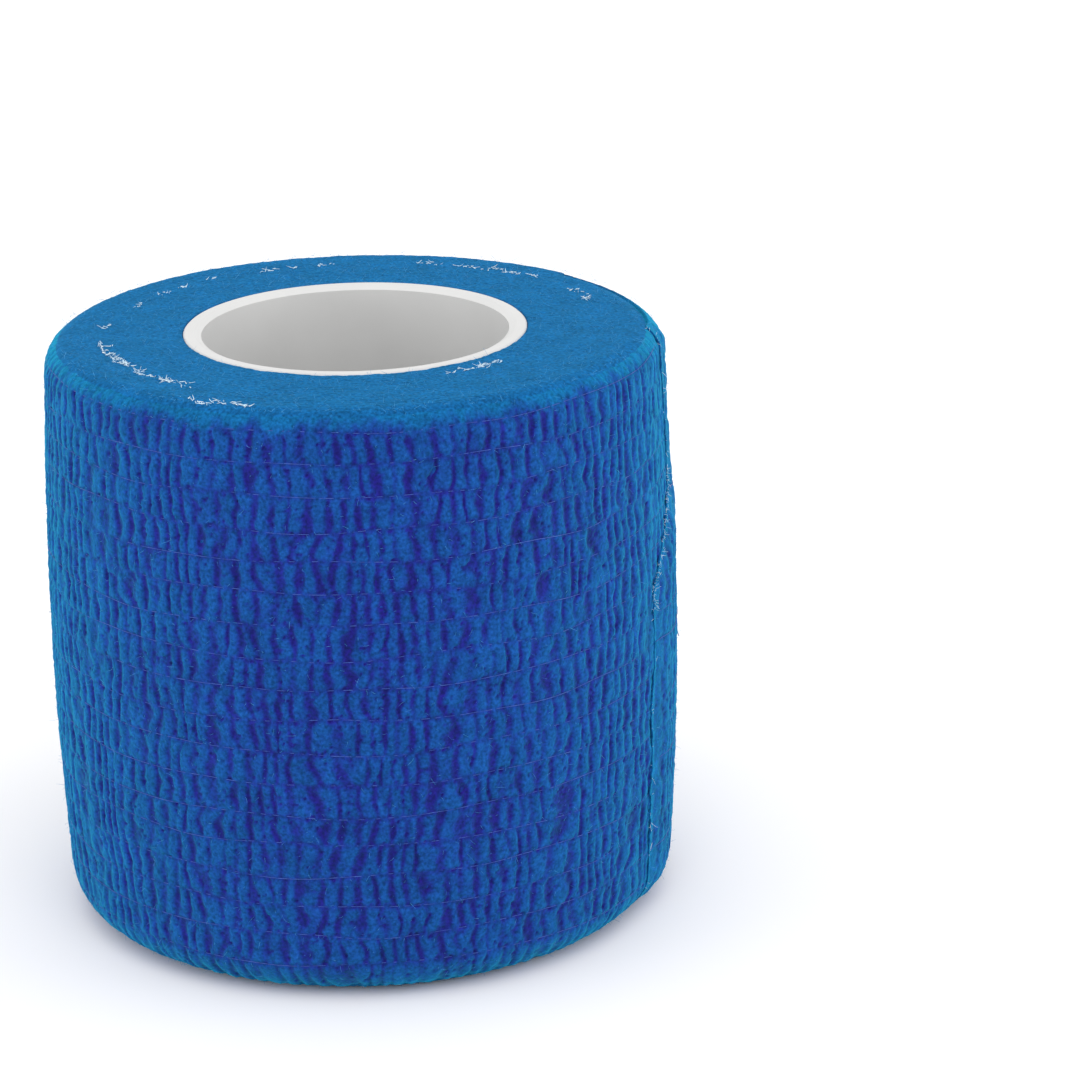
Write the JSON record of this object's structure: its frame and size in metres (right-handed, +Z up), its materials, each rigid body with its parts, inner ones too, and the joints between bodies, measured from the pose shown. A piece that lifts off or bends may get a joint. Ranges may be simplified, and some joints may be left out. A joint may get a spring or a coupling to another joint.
{
  "type": "hand wrap roll",
  "caption": "Roll of cohesive elastic bandage for wrapping hands, wound on a plain hollow core, with a loose end that peels open.",
  "frame": {"origin": "on the axis of the core, at the end face that the roll stands on", "axes": "+Z up along the bore of the core; -Y is the front, and the loose end lies on the right, on +X"},
  "size_m": [0.054, 0.0537, 0.05],
  "materials": {
    "bandage": "puckered matte",
    "thread": "matte",
    "core": "satin"
  },
  "bodies": {
    "roll": {"core_tube": "core", "bandage_web": "bandage", "elastic_thread_01": "thread", "elastic_thread_02": "thread", "elastic_thread_03": "thread", "elastic_thread_04": "thread", "elastic_thread_05": "thread", "elastic_thread_06": "thread", "elastic_thread_07": "thread", "elastic_thread_08": "thread", "elastic_thread_09": "thread", "elastic_thread_10": "thread", "elastic_thread_11": "thread", "elastic_thread_12": "thread", "elastic_thread_13": "thread", "elastic_thread_14": "thread", "elastic_thread_15": "thread", "elastic_thread_16": "thread", "elastic_thread_17": "thread", "elastic_thread_18": "thread"},
    "loose_end_root": {"loose_end_root": "bandage", "loose_end_root_threads": "thread"},
    "loose_end_middle": {"loose_end_middle": "bandage", "loose_end_middle_threads": "thread"},
    "loose_end_tip": {"loose_end_tip": "bandage", "loose_end_tip_threads": "thread"}
  },
  "joints": [
    {"name": "peel_root", "type": "hinge", "parent": "roll", "child": "loose_end_root", "pos_m": [0.01985, 0.01787, 0.025], "axis": [0, 0, 1], "range_deg": [0, 60]},
    {"name": "peel_middle", "type": "hinge", "parent": "loose_end_root", "child": "loose_end_middle", "pos_m": [0.0251, 0.00914, 0.025], "axis": [0, 0, 1], "range_deg": [0, 36]},
    {"name": "peel_tip", "type": "hinge", "parent": "loose_end_middle", "child": "loose_end_tip", "pos_m": [0.02669, -0.00093, 0.025], "axis": [0, 0, 1], "range_deg": [0, 36]}
  ],
  "couplings": [
    {"joint": "peel_middle", "follows": "peel_root", "ratio": 0.6},
    {"joint": "peel_tip", "follows": "peel_root", "ratio": 0.6}
  ]
}
